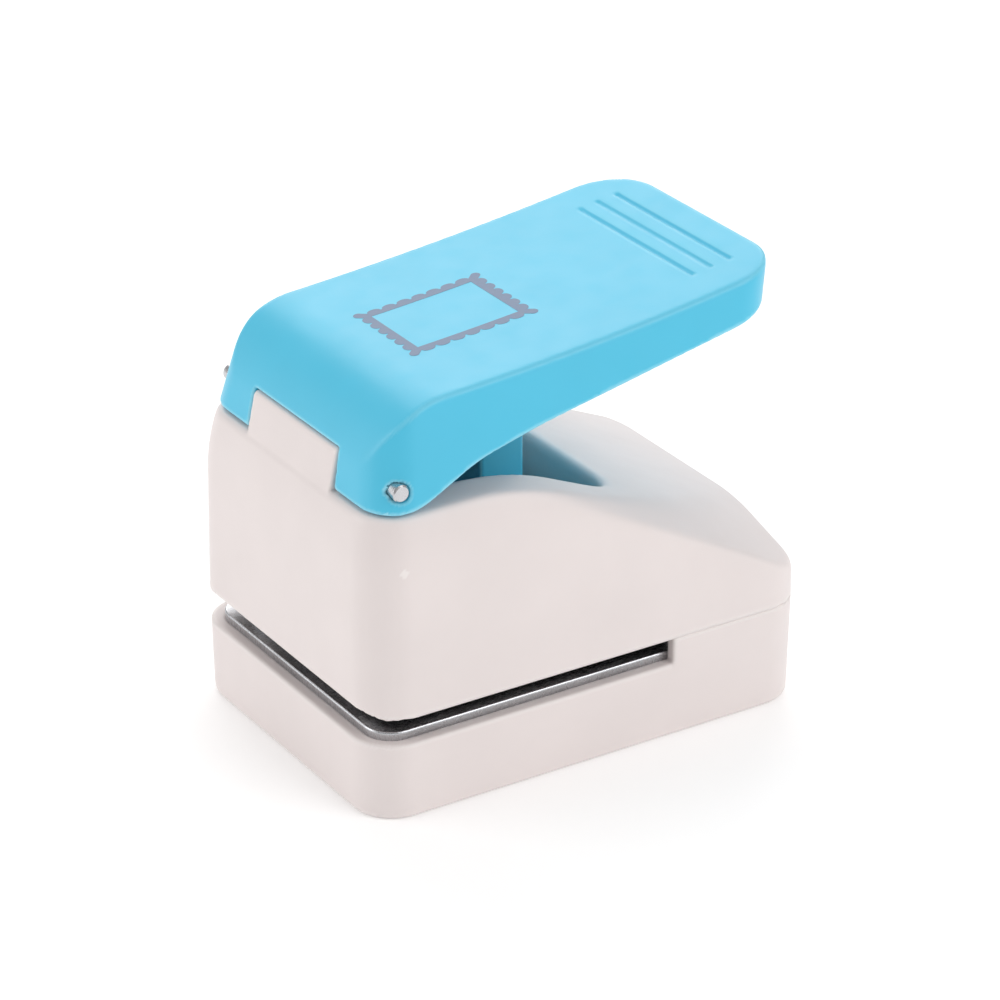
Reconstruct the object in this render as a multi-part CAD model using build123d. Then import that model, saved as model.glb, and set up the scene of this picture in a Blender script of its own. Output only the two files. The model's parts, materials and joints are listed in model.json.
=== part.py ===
from build123d import *
import math
import os

# Craft punch with a sprung lever: a stamp-shaped cutter is pressed through a steel die set.
# Frame: +X runs from the paper slot end towards the press end of the lever, +Z is up,
# the origin is the centre of the footprint on the table. Apart from the bevel along the
# housing's top edges, which widens only on the -Y side, the punch is alike on both sides of Y = 0.
# All sizes are in millimetres, at rest: lever up, cutter raised.

# ---- driving sizes of the base ----
body_length = 86.0
body_width = 60.7
body_corner = 7.5
rim_height = 13.9           # rim of the base around the paper slot
parting_height = 18.65      # where the housing meets the raised rear of the base
slot_end_x = 15.4           # the slot is open from the front end back to here
base_draft_deg = 0.76
foot_round = 0.6
rim_wall = 2.3
shelf_width = 1.5           # shelf inside the rim that carries the die plate
floor_thickness = 2.2
chute_half_x = 14.6         # chip chute under the die hole
chute_half_y = 12.0
chute_wall = 1.6
rib_front_x, rib_rear_x = -30.0, 28.0       # two stiffening ribs along the tub
base_rib_y = 20.0
base_rib_thickness = 1.6

# ---- steel die set ----
plate_gap = 0.1             # play between the die plate and the rim
die_top = 15.3
die_thickness = 2.0
die_edge_round = 0.4
paper_gap = 1.75
guide_thickness = parting_height - die_top - paper_gap
plate_rear_x = 38.0
plate_rear_corner = 2.0
guide_front_x = -37.0
guide_front_corner = 3.0
guide_half_width = 24.0
spacer_front_x = 18.0

# ---- stamp shape that is punched ----
punch_x = -5.9
stamp_length = 24.2
stamp_width = 18.8
notch_radius = 0.72
notches_long = 8
notches_short = 6
cutting_play = 0.05

# ---- housing ----
shoulder_height = 53.8
ramp_slope = 0.432          # fall of the rear top per millimetre
ramp_start_x = -13.06
ramp_blend = 47.0
shell = 2.2
well_front_x = -29.0
well_rear_x = 10.0
well_half_width = 20.3
well_wall = 2.0
well_front_corner = 1.0
well_rear_corner = 8.0
wall_lean = 0.01            # the walls lean in by this much per millimetre of height
wall_curve = 0.01           # and curve in with the square of the height above wall_curve_start
wall_curve_start = 42.0
crown_heights = [42.0, 46.0, 50.0, 56.0]
bevel_inner_y = 28.3        # inner line of the bevel along each top edge
bevel_run = 0.45            # width of the bevel for each millimetre of its height
bevel_spread_x = -12.0      # behind here the bevel on the -Y side widens
bevel_spread = 0.0065       # by this much times the square of the distance
bevel_run_growth = 0.055
bevel_stations = [-47.0, -36.0, -24.0, -12.0, -2.0, 8.0, 18.0, 28.0, 37.0, 46.0]
rear_edge_x = 42.95
rear_edge_radius = 1.2
rear_cut_z = 24.0           # the rear end is trimmed to rear_edge_x down to here
lug_root_z = 44.0           # the shell is solid above this under the hinge lug
lead_in_x = -40.0           # in front of here the underside rises, to lead the paper in
lead_in_slope = 0.43

# ---- hinge ----
pivot_x = -36.0
pivot_z = 58.0
pin_diameter = 3.0
pin_play = 0.05
pin_half_length = 27.95
pin_end_chamfer = 0.25
lug_half_width = 13.5
lug_radius = 3.25
lug_top = 60.9              # flat top of the lug in front of its round back
lug_front_x = -41.0         # leaning front of the lug, at the height of the shoulders
lug_front_lean = 0.218

# ---- lever ----
raised_deg = 7.0            # the lever is drawn level and stands this much higher at rest
lever_wall = 2.2
lever_roof = 2.4
lever_front_x = -38.5       # front wall, at the height lever_front_z
lever_front_z = 62.9
lever_front_lean = 0.3075   # the walls lean in by this much per millimetre of height
lever_rear_x = 42.9
lever_rear_z = 70.0
lever_rear_lean = -0.42     # the rear wall leans out
lever_half_width = 25.1
lever_side_z = 69.4
lever_side_lean = 0.255
lever_front_corner = 7.0
lever_rear_corner = 10.0
roof_middle = (8.0, 69.35)  # lowest point of the slightly dished top
roof_dish = 1250.0          # the top rises with the square of the distance over this length
roof_ends = (-24.0, 46.0)
front_bend = 11.0           # big bend between the lever's top and its front wall
front_bend_z = 70.4
underside = [(-41.2, 55.2), (-39.6, 54.4), (-33.2, 54.4), (-21.4, 58.3), (-9.5, 59.85), (26.0, 62.5),
             (46.0, 63.9)]
underside_bends = {1: 2.0, 2: 5.0, 3: 14.0, 4: 30.0}
nose_arm = 30.0             # from the pin to the nose that presses on the pusher
nose_radius = 3.5
nose_gap = 0.3
rib_y = 15.4
rib_thickness = 2.0
rib_eye = 3.6               # radius of the rib around the pin
rib_outline = [(-39.6, 57.0), (-36.0, 54.4), (-28.0, 57.0), (-12.0, 57.0), (-6.0, 54.6), (-2.6, 58.0),
               (-2.6, 69.0), (-39.6, 69.0)]
window_top = 61.2           # opening in the front wall that clears the lug
window_half_top = 13.8
window_half_foot = 14.4
window_foot = 50.0
window_back_x = -33.5
groove_places = [28.8, 32.4, 36.3]
groove_half_length = 17.2
groove_radius = 0.6
groove_depth = 0.35

# ---- pusher, cutter, posts and springs ----
foot_half_x = 11.6
foot_half_y = 9.2
column_half_x = 4.3
column_half_y = 10.0
column_round = 0.8
wing_half_x = 5.0
wing_bottom = 38.0
wing_top = 43.0
sleeve_diameter = 8.6
post_y = 15.5
post_diameter = 4.0
post_play = 0.05
post_top = 47.0
post_chamfer = 0.5
clip_z = 44.8
clip_thickness = 0.8
clip_diameter = 7.4
clip_mouth = 2.4
clip_neck = 3.0
clip_play = 0.05
bush_diameter = 6.0
bush_bottom = 36.0
bush_top = 44.5
spring_diameter = 7.6
spring_wire = 0.9
spring_turns = 7.5
spring_play = 0.05
spring_seat = 19.15         # top of the washer under each spring
washer_diameter = 8.4
cutter_bottom = 18.2
cutter_top = 30.0

# ---- fasteners ----
screw_shank = 2.9
screw_hole = 3.0
base_screw_hole = 3.2
screw_head = 5.6
screw_head_height = 2.0
screw_head_round = 0.7
driver_length = 3.2
driver_width = 0.8
driver_depth = 1.05
counterbore = 6.2
counterbore_depth = 3.0
boss_diameter = 7.5
guide_boss_diameter = 6.5
countersink_depth = 1.3
small_driver_length = 2.6
small_driver_width = 0.6
small_driver_depth = 0.7
rivet_head = 5.0
rivet_head_height = 0.8
front_screws = [(-32.0, -20.0), (-32.0, 20.0)]
rear_screws = [(30.0, -18.0), (30.0, 18.0)]
rear_screw_tip = 27.0
guide_screws = [(-35.0, -18.0), (-35.0, 18.0), (14.0, -15.0), (14.0, 15.0)]
guide_screw_tip = 26.0
guide_hole_top = 27.0
rear_hole_top = 27.5
rivets = [(35.0, -9.0), (35.0, 9.0), (22.0, 0.0)]
cutter_screws = [(-14.6, 0.0), (2.8, 0.0)]
cutter_screw_seat = 34.4
cutter_screw_depth = 8.0

beyond = 60.0               # further out than any part of the punch, for cuts that pass right through
posts = [(punch_x, -post_y), (punch_x, post_y)]
die_bottom = die_top - die_thickness
guide_bottom = die_top + paper_gap
nose_z = pivot_z + nose_arm * math.sin(math.radians(raised_deg))
pusher_top = nose_z - nose_radius - nose_gap


# ---------------------------------------------------------------- helpers
def block(x0, x1, y0, y1, z0, z1):
    """A box given by its two ends along each axis."""
    middle = Pos((x0 + x1) / 2, (y0 + y1) / 2, (z0 + z1) / 2)
    return middle * Box(x1 - x0, y1 - y0, z1 - z0)


def rod(x, y, z0, z1, diameter):
    """A vertical round bar."""
    return Pos(x, y, (z0 + z1) / 2) * Cylinder(diameter / 2, z1 - z0)


def rods(places, z0, z1, diameter):
    """Alike vertical round bars at several places."""
    return [rod(x, y, z0, z1, diameter) for x, y in places]


def cross_rod(x, z, half_length, radius):
    """A round bar along Y, centred on Y = 0."""
    return Pos(x, 0, z) * Rot(90, 0, 0) * Cylinder(radius, 2 * half_length)


def rounded_plan(z, x0, x1, half_width, front_radius, rear_radius):
    """A plan outline at one height, with its own corner radii at the two ends."""
    face = Pos((x0 + x1) / 2, 0) * Rectangle(x1 - x0, 2 * half_width)
    front = face.vertices().sort_by(Axis.X)[:2]
    face = fillet(front, front_radius)
    rear = face.vertices().sort_by(Axis.X)[-2:]
    face = fillet(rear, rear_radius)
    return Pos(0, 0, z) * face


def side_slab(face, y0, y1):
    """A side view drawn as X and Z, given thickness from y0 to y1."""
    upright = Plane(origin=(0, y1, 0), x_dir=(1, 0, 0), z_dir=(0, -1, 0))
    return extrude(upright * face, y1 - y0)


def body_plan(z, inset):
    """The footprint's outline at one height, drawn in all round."""
    radius = body_corner - inset
    return rounded_plan(z, inset - body_length / 2, body_length / 2 - inset, body_width / 2 - inset,
                        radius, radius)


def stamp(grow):
    """The perforated postage stamp outline, grown all round by a clearance."""
    length = stamp_length + 2 * grow
    width = stamp_width + 2 * grow
    radius = notch_radius - grow
    pitch_x = stamp_length / notches_long
    pitch_y = stamp_width / notches_short
    bites = []
    for i in range(notches_long):
        x = (i + 0.5 - notches_long / 2) * pitch_x
        bites.append(Pos(x, width / 2) * Circle(radius))
        bites.append(Pos(x, -width / 2) * Circle(radius))
    for i in range(notches_short):
        y = (i + 0.5 - notches_short / 2) * pitch_y
        bites.append(Pos(length / 2, y) * Circle(radius))
        bites.append(Pos(-length / 2, y) * Circle(radius))
    return Rectangle(length, width) - bites


def stamp_hole(z):
    """Cutter for the stamp-shaped hole in a plate whose underside is at height z."""
    return Pos(punch_x, 0, z - 1) * extrude(stamp(cutting_play), 5)


def driver_cross(x, y, z, length, width, depth):
    """Cross recess for the screwdriver, cut as deep on both sides of z."""
    return Pos(x, y, z) * (Box(length, width, 2 * depth) + Box(width, length, 2 * depth))


def screw(x, y, z_head, z_tip):
    """A pan head screw; its head lies on the far side of z_head from the tip."""
    up = 1 if z_tip > z_head else -1
    z_top = z_head - up * screw_head_height
    body = rod(x, y, min(z_head, z_tip), max(z_head, z_tip), screw_shank)
    head = rod(x, y, min(z_head, z_top), max(z_head, z_top), screw_head)
    rim = head.edges().filter_by(GeomType.CIRCLE).sort_by(Axis.Z)
    head = fillet(rim[0] if up > 0 else rim[-1], screw_head_round)
    return head + body - driver_cross(x, y, z_top, driver_length, driver_width, driver_depth)


# ---------------------------------------------------------------- base
def make_base():
    """Open tub with a shelf for the die plate, a chip chute and four screw bosses."""
    tub = extrude(body_plan(parting_height, 0), -parting_height, taper=base_draft_deg)
    lower_rim = tub.edges().group_by(Axis.Z)[0]
    tub = fillet(lower_rim, foot_round)
    tub -= block(-beyond, slot_end_x, -beyond, beyond, rim_height, beyond)
    tub -= extrude(body_plan(die_bottom, rim_wall), beyond)
    tub -= extrude(body_plan(floor_thickness, rim_wall + shelf_width), beyond)
    tub += rods(front_screws + rear_screws, floor_thickness, die_bottom, boss_diameter)
    outer_x = chute_half_x + chute_wall
    outer_y = chute_half_y + chute_wall
    tub += block(punch_x - outer_x, punch_x + outer_x, -outer_y, outer_y, 0, die_bottom)
    tub -= block(punch_x - chute_half_x, punch_x + chute_half_x, -chute_half_y, chute_half_y, -1, beyond)
    half = base_rib_thickness / 2
    for y in (-base_rib_y, base_rib_y):
        tub += block(rib_front_x, rib_rear_x, y - half, y + half, floor_thickness, die_bottom)
    tub -= rods(front_screws + rear_screws, -1, parting_height, base_screw_hole)
    tub -= rods(front_screws + rear_screws, -1, counterbore_depth, counterbore)
    return tub


# ---------------------------------------------------------------- die set
def make_die_plate():
    """Polished lower plate with the stamp-shaped hole and a rounded upper edge."""
    inset = rim_wall + plate_gap
    outline = rounded_plan(die_bottom, inset - body_length / 2, plate_rear_x, body_width / 2 - inset,
                           body_corner - inset, plate_rear_corner)
    plate = extrude(outline, die_thickness)
    plate = fillet(plate.edges().group_by(Axis.Z)[-1], die_edge_round)
    plate -= stamp_hole(die_bottom)
    plate -= rods(front_screws + rear_screws + rivets, 0, beyond, screw_hole)
    return plate


def make_guide_plate():
    """Upper plate that guides the cutter and strips the paper off it."""
    outline = rounded_plan(guide_bottom, guide_front_x, plate_rear_x, guide_half_width,
                           guide_front_corner, plate_rear_corner)
    plate = extrude(outline, guide_thickness) - stamp_hole(guide_bottom)
    plate -= rods(guide_screws + rear_screws + rivets, 0, beyond, screw_hole)
    for x, y in guide_screws:
        sink = Cone(screw_head / 2 + 0.1, screw_hole / 2, countersink_depth)
        plate -= Pos(x, y, guide_bottom + countersink_depth / 2) * sink
    plate -= rods(posts, 0, beyond, post_diameter)
    return plate


def make_rear_spacer():
    """Strip that holds the two plates the paper gap apart."""
    outline = rounded_plan(die_top, spacer_front_x, plate_rear_x, guide_half_width, 1.0, plate_rear_corner)
    return extrude(outline, paper_gap) - rods(rear_screws + rivets, 0, beyond, screw_hole)


def make_die_set_rivets():
    """Three rivets with a flat head on each side of the die set."""
    group = []
    for x, y in rivets:
        shank = rod(x, y, die_bottom, parting_height, screw_shank)
        lower = rod(x, y, die_bottom - rivet_head_height, die_bottom, rivet_head)
        upper = rod(x, y, parting_height, parting_height + rivet_head_height, rivet_head)
        group.append(shank + lower + upper)
    return Compound(children=group)


# ---------------------------------------------------------------- housing
def wall_inset(z):
    """How far the housing's walls stand in from the footprint at one height."""
    return wall_lean * (z - parting_height) + wall_curve * max(0.0, z - wall_curve_start) ** 2


def plan_at(z, margin):
    """The housing's outline at one height, drawn in by a margin."""
    inset = margin + wall_inset(z)
    radius = body_corner - margin
    half_length = body_length / 2 - inset
    return rounded_plan(z, -half_length, half_length, body_width / 2 - inset, radius, radius)


def ramp_height(x):
    """Height of the housing's sloping rear top."""
    return shoulder_height - ramp_slope * (x - ramp_start_x)


def ramp_cutter(lower):
    """Everything above the flat shoulders and the sloping rear top, lowered by an amount."""
    z = shoulder_height - lower
    end_x = rear_edge_x - lower
    end_z = ramp_height(end_x) - lower
    outline = Polyline((-beyond, z), (ramp_start_x, z), (end_x, end_z), (end_x, rear_cut_z),
                       (beyond, rear_cut_z), (beyond, 2 * beyond), (-beyond, 2 * beyond), close=True)
    face = make_face(outline)
    bend = face.vertices().sort_by_distance((ramp_start_x, z))[0]
    face = fillet(bend, ramp_blend)
    rear = face.vertices().sort_by_distance((end_x, end_z))[0]
    face = fillet(rear, rear_edge_radius)
    return side_slab(face, -beyond, beyond)


def top_height(x):
    """Height of the housing's top: flat at the hinge, a gentle bend, then the ramp."""
    slope_angle = math.atan(ramp_slope)
    bend_start = ramp_start_x - ramp_blend * math.tan(slope_angle / 2)
    bend_end = bend_start + ramp_blend * math.sin(slope_angle)
    if x < bend_start:
        return shoulder_height
    if x < bend_end:
        return shoulder_height - ramp_blend + math.sqrt(ramp_blend ** 2 - (x - bend_start) ** 2)
    return ramp_height(x)


def bevel_section(x, side):
    """Wedge cut from a top edge at one place; on the -Y side it widens towards the rear end."""
    along = max(0.0, x - bevel_spread_x) if side < 0 else 0.0
    inner_y = bevel_inner_y - bevel_spread * along ** 2
    run = bevel_run + bevel_run_growth * along
    top_z = top_height(x)
    over = 2.0
    start_y = inner_y - run * over
    outer_y = 34.0
    outer_z = top_z - (outer_y - inner_y) / run
    high_z = top_z + 12.0
    points = [(side * start_y, top_z + over), (side * outer_y, outer_z), (side * outer_y, high_z),
              (side * start_y, high_z)]
    upright = Plane(origin=(x, 0, 0), x_dir=(0, 1, 0), z_dir=(1, 0, 0))
    return upright * make_face(Polyline(*points, close=True))


def edge_bevel(side):
    """Bevel along a top edge, from just outside the front end to just outside the rear."""
    return loft([bevel_section(x, side) for x in bevel_stations])


def housing_block(margin, lower, bevel_lower):
    """The housing's outside, or its inside when given a margin and a lowered top and bevels."""
    foot = parting_height - (1.0 if margin else 0.0)
    wall = loft([plan_at(foot, margin), plan_at(wall_curve_start, margin)], ruled=True)
    crown = loft([plan_at(z, margin) for z in crown_heights])
    form = wall + crown - ramp_cutter(lower)
    for side in (-1, 1):
        form -= Pos(0, 0, -bevel_lower) * edge_bevel(side)
    return form


def make_lug():
    """Hinge lug between the lever's cheeks, with a front face that leans back."""
    back_x = pivot_x + lug_radius
    root_z = shoulder_height - 2
    front = [(lug_front_x + (z - shoulder_height) * lug_front_lean, z) for z in (root_z, lug_top)]
    outline = Polyline(*front, (pivot_x, lug_top), (pivot_x, pivot_z), (back_x, pivot_z), (back_x, root_z),
                       close=True)
    face = make_face(outline) + Pos(pivot_x, pivot_z) * Circle(lug_radius)
    return side_slab(face, -lug_half_width, lug_half_width)


def lead_in():
    """Wedge cut from the front of the underside, so that paper slides in easily."""
    front_x = -body_length
    rise = (lead_in_x - front_x) * lead_in_slope
    outline = Polyline((lead_in_x, parting_height), (front_x, parting_height + rise),
                       (front_x, 0), (lead_in_x, 0), close=True)
    return side_slab(make_face(outline), -beyond, beyond)


def make_housing():
    """Shell with a well for the pusher, a hinge lug and screw bosses."""
    outside = housing_block(0, 0, 0)
    inside = housing_block(shell, shell + 0.6, shell + 0.8)
    keep_y = well_half_width + well_wall
    keep = block(well_front_x - well_wall, well_rear_x + well_wall, -keep_y, keep_y, 0, beyond)
    keep += block(-beyond, well_front_x, -lug_half_width, lug_half_width, lug_root_z, beyond)
    keep += rods(guide_screws, 0, beyond, guide_boss_diameter)
    keep += rods(rear_screws, 0, beyond, boss_diameter)
    housing = outside - (inside - keep)
    well = rounded_plan(0, well_front_x, well_rear_x, well_half_width, well_front_corner, well_rear_corner)
    housing -= extrude(well, beyond)
    housing -= rods(guide_screws, 0, guide_hole_top, screw_hole)
    housing -= rods(rear_screws, 0, rear_hole_top, screw_hole)
    housing -= lead_in()
    housing += make_lug()
    housing -= cross_rod(pivot_x, pivot_z, beyond, pin_diameter / 2 + pin_play)
    return housing


# ---------------------------------------------------------------- lever
def level_to_rest(solid):
    """Turn the lever from level to its raised rest position."""
    return solid.rotate(Axis((pivot_x, 0, pivot_z), (0, 1, 0)), -raised_deg)


def front_wall_x(z):
    """Where the lever's leaning front wall is at one height."""
    return lever_front_x + (z - lever_front_z) * lever_front_lean


def roof_height(x):
    """Height of the slightly dished lever top when level."""
    return roof_middle[1] + (x - roof_middle[0]) ** 2 / roof_dish


def lever_block(margin):
    """The lever's tapered outside, or its inside when given a margin."""
    sections = []
    for z in (window_foot, 74.0):
        front = front_wall_x(z) + margin
        rear = lever_rear_x - (z - lever_rear_z) * lever_rear_lean - margin
        half_width = lever_half_width - (z - lever_side_z) * lever_side_lean - margin
        sections.append(rounded_plan(z, front, rear, half_width, lever_front_corner - margin,
                                     lever_rear_corner - margin))
    return loft(sections, ruled=True)


def lever_side(lowered, wall):
    """Side view of the level lever; the inside has a lowered top, a wall and no underside."""
    front_end, rear_end = roof_ends
    middle_x, middle_z = roof_middle
    corner = (front_wall_x(front_bend_z - lowered) + wall, front_bend_z - lowered)
    foot_z = underside[0][1]
    roof = ThreePointArc((rear_end, roof_height(rear_end) - lowered), (middle_x, middle_z - lowered),
                         (front_end, roof_height(front_end) - lowered))
    front = Polyline(roof @ 1, corner, (front_wall_x(foot_z + 5) + wall, foot_z + 5),
                     (-beyond, foot_z + 5), (-beyond, foot_z))
    if lowered:
        under = Polyline(front @ 1, (-beyond, 40), (rear_end, 40), roof @ 0)
    else:
        under = Polyline(front @ 1, *underside, roof @ 0)
    face = make_face([*roof.edges(), *front.edges(), *under.edges()])
    bends = [(corner, front_bend - lowered)]
    if not lowered:
        bends += [(underside[i], underside_bends[i]) for i in sorted(underside_bends, reverse=True)]
    for point, radius in bends:
        vertex = face.vertices().sort_by_distance(point)[0]
        face = fillet(vertex, radius)
    return face


def grip_groove(x):
    """Round-ended bar that cuts one grip groove across the lever's top."""
    r, end = groove_radius, groove_half_length
    diagonal = r * math.sqrt(0.5)
    axis = Line((0, -end - r), (0, end + r))
    far = ThreePointArc((0, end + r), (diagonal, end + diagonal), (r, end))
    side = Line((r, end), (r, -end))
    near = ThreePointArc((r, -end), (diagonal, -end - diagonal), (0, -end - r))
    bar = revolve(make_face([axis, far, side, near]), Axis.Y)
    return Pos(x, 0, roof_height(x) + groove_radius - groove_depth) * bar


def make_lever():
    """Hollow press lever with cheeks, two ribs, a rounded nose bar and three grip grooves."""
    outside = lever_block(0) & side_slab(lever_side(0, -0.05), -beyond, beyond)
    inside = lever_block(lever_wall) & side_slab(lever_side(lever_roof, lever_wall), -beyond, beyond)
    body = outside - inside
    rib_face = make_face(Polyline(*rib_outline, close=True)) + Pos(pivot_x, pivot_z) * Circle(rib_eye)
    for side in (-1, 1):
        rib = side_slab(rib_face, side * rib_y - rib_thickness / 2, side * rib_y + rib_thickness / 2)
        body += rib & outside
    body += cross_rod(pivot_x + nose_arm, pivot_z, rib_y + rib_thickness / 2, nose_radius)
    for x in groove_places:
        body -= grip_groove(x)
    body -= cross_rod(pivot_x, pivot_z, beyond, pin_diameter / 2 + pin_play)
    window = make_face(Polyline((-window_half_foot, window_foot), (window_half_foot, window_foot),
                                (window_half_top, window_top), (-window_half_top, window_top), close=True))
    facing = Plane(origin=(-beyond, 0, 0), x_dir=(0, 1, 0), z_dir=(1, 0, 0))
    return level_to_rest(body) - extrude(facing * window, beyond + window_back_x)


def make_hinge_pin():
    """Steel hinge pin with lightly broken ends."""
    pin = cross_rod(pivot_x, pivot_z, pin_half_length, pin_diameter / 2)
    return chamfer(pin.edges().filter_by(GeomType.CIRCLE), pin_end_chamfer)


# ---------------------------------------------------------------- pusher and cutter
def make_pusher():
    """Moulded pusher: foot over the cutter, column up to the lever's nose, two guided wings."""
    foot = block(punch_x - foot_half_x, punch_x + foot_half_x, -foot_half_y, foot_half_y,
                 cutter_top, bush_bottom)
    column = block(punch_x - column_half_x, punch_x + column_half_x, -column_half_y, column_half_y,
                   bush_bottom - 1, pusher_top)
    column = fillet(column.edges().filter_by(Axis.Z), column_round)
    wings = block(punch_x - wing_half_x, punch_x + wing_half_x, -post_y, post_y, wing_bottom, wing_top)
    body = foot + column + wings + rods(posts, bush_bottom, bush_top, sleeve_diameter)
    body -= rods(posts, cutter_top, beyond, bush_diameter)
    body -= rods(cutter_screws, cutter_top - 1, bush_bottom, screw_hole)
    body -= rods(cutter_screws, cutter_screw_seat, wing_bottom, screw_head + 0.3)
    return body


def make_pusher_bush(y):
    """Slide bush pressed into a wing."""
    bore = rod(punch_x, y, cutter_top, beyond, post_diameter + 2 * post_play)
    return rod(punch_x, y, bush_bottom, bush_top, bush_diameter) - bore


def make_cutter():
    """Hardened stamp-shaped punch with two tapped holes in its top."""
    solid = Pos(punch_x, 0, cutter_bottom) * extrude(stamp(0), cutter_top - cutter_bottom)
    return solid - rods(cutter_screws, cutter_top - cutter_screw_depth - 0.2, beyond, screw_hole)


# ---------------------------------------------------------------- posts, clips, springs
def make_guide_post(y):
    """Post riveted flush into the guide plate, with a neck for its clip."""
    post = rod(punch_x, y, guide_bottom, post_top, post_diameter)
    post = chamfer(post.edges().filter_by(GeomType.CIRCLE).sort_by(Axis.Z)[-1], post_chamfer)
    groove_top = clip_z + clip_thickness + 2 * clip_play
    neck = rod(punch_x, y, clip_z, groove_top, clip_diameter) - rod(punch_x, y, 0, beyond, clip_neck)
    return post - neck


def make_post_clips():
    """Snap clips that stop the pusher at the top of its travel."""
    group = []
    low = clip_z + clip_play
    for x, y in posts:
        ring = rod(x, y, low, low + clip_thickness, clip_diameter)
        ring -= rod(x, y, 0, beyond, clip_neck + 2 * clip_play)
        outer_y = y + math.copysign(clip_diameter, y)
        mouth = block(x - clip_mouth / 2, x + clip_mouth / 2, min(y, outer_y), max(y, outer_y), 0, beyond)
        group.append(ring - mouth)
    return Compound(children=group)


def make_spring_washers():
    """Steel seats under the return springs."""
    group = []
    for x, y in posts:
        ring = rod(x, y, parting_height, spring_seat, washer_diameter)
        group.append(ring - rod(x, y, 0, beyond, post_diameter + 0.2))
    return Compound(children=group)


def make_return_spring(y):
    """Compression spring around a guide post, between its seat and the pusher's wing."""
    radius = (spring_diameter - spring_wire) / 2
    low = spring_seat + spring_wire / 2 + spring_play
    high = bush_bottom - spring_wire / 2 - spring_play
    path = Pos(punch_x, y, low) * Helix((high - low) / spring_turns, high - low, radius)
    start = path @ 0
    section = Plane(origin=start, z_dir=path % 0) * Circle(spring_wire / 2)
    return sweep(section, path=path, is_frenet=True)


# ---------------------------------------------------------------- fasteners
def make_front_base_screws():
    """Two screws from below that hold the die plate down at the front."""
    return Compound(children=[screw(x, y, counterbore_depth, die_top - 0.1) for x, y in front_screws])


def make_rear_base_screws():
    """Two long screws from below that clamp base, die set and housing together."""
    return Compound(children=[screw(x, y, counterbore_depth, rear_screw_tip) for x, y in rear_screws])


def make_guide_plate_screws():
    """Four countersunk screws that hold the guide plate up against the housing."""
    group = []
    for x, y in guide_screws:
        shank = rod(x, y, guide_bottom + 1.0, guide_screw_tip, screw_shank)
        head = Cone(screw_head / 2, screw_shank / 2, countersink_depth)
        head = Pos(x, y, guide_bottom + countersink_depth / 2) * head
        cross = driver_cross(x, y, guide_bottom, small_driver_length, small_driver_width, small_driver_depth)
        group.append(shank + head - cross)
    return Compound(children=group)


def make_cutter_screws():
    """Two screws that hold the cutter up against the pusher's foot."""
    tip = cutter_top - cutter_screw_depth
    return Compound(children=[screw(x, y, cutter_screw_seat, tip) for x, y in cutter_screws])


# ---------------------------------------------------------------- output
def write(name, shape):
    """Save one sub-part."""
    export_step(shape, os.path.join("parts", name + ".step"))


os.makedirs("parts", exist_ok=True)
write("base", make_base())
write("die_plate", make_die_plate())
write("guide_plate", make_guide_plate())
write("rear_spacer", make_rear_spacer())
write("die_set_rivets", make_die_set_rivets())
write("housing", make_housing())
write("lever", make_lever())
write("hinge_pin", make_hinge_pin())
write("pusher", make_pusher())
write("cutter", make_cutter())
write("post_clips", make_post_clips())
write("spring_washers", make_spring_washers())
write("front_base_screws", make_front_base_screws())
write("rear_base_screws", make_rear_base_screws())
write("guide_plate_screws", make_guide_plate_screws())
write("cutter_screws", make_cutter_screws())
for side_name, side_y in (("left", post_y), ("right", -post_y)):
    write("pusher_bush_" + side_name, make_pusher_bush(side_y))
    write("guide_post_" + side_name, make_guide_post(side_y))
    write("return_spring_" + side_name, make_return_spring(side_y))
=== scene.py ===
import json
import math

import bpy
import numpy as np
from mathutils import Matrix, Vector


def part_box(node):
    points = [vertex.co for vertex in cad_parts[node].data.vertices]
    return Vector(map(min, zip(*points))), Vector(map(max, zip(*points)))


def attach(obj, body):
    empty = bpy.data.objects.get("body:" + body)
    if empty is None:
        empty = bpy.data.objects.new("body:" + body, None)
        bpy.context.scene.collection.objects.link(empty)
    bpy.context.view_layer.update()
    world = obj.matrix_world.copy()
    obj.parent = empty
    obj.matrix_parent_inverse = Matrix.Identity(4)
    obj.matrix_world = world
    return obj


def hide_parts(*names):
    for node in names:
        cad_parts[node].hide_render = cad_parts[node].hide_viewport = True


# Craft punch with a sprung press lever.
# The moulded pieces are made here as smooth surfaces: each is a distance field, worked out in
# millimetres, whose edges are softened before it is meshed. The metal pieces and the pusher are
# the CAD nodes themselves.

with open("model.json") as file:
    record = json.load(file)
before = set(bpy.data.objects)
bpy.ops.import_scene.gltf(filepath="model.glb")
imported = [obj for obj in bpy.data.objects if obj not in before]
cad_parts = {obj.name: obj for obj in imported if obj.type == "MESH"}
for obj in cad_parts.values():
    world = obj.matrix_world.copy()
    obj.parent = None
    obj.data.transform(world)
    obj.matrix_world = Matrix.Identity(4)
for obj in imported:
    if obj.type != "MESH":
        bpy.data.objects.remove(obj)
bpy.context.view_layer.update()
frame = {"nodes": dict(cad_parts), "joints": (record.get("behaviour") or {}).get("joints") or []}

MM = 0.001


def node_box(name):
    """Lowest and highest corner of a CAD node, in millimetres."""
    low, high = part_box(name)
    return np.array(low) / MM, np.array(high) / MM


base_low, base_high = node_box("base")
housing_low, housing_high = node_box("housing")
die_low = node_box("die_plate")[0]
lever_low, lever_high = node_box("lever")
pin_low, pin_high = node_box("hinge_pin")
pusher_low, pusher_high = node_box("pusher")
hinge = [joint for joint in frame["joints"] if joint["name"] == "lever_hinge"][0]

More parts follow.
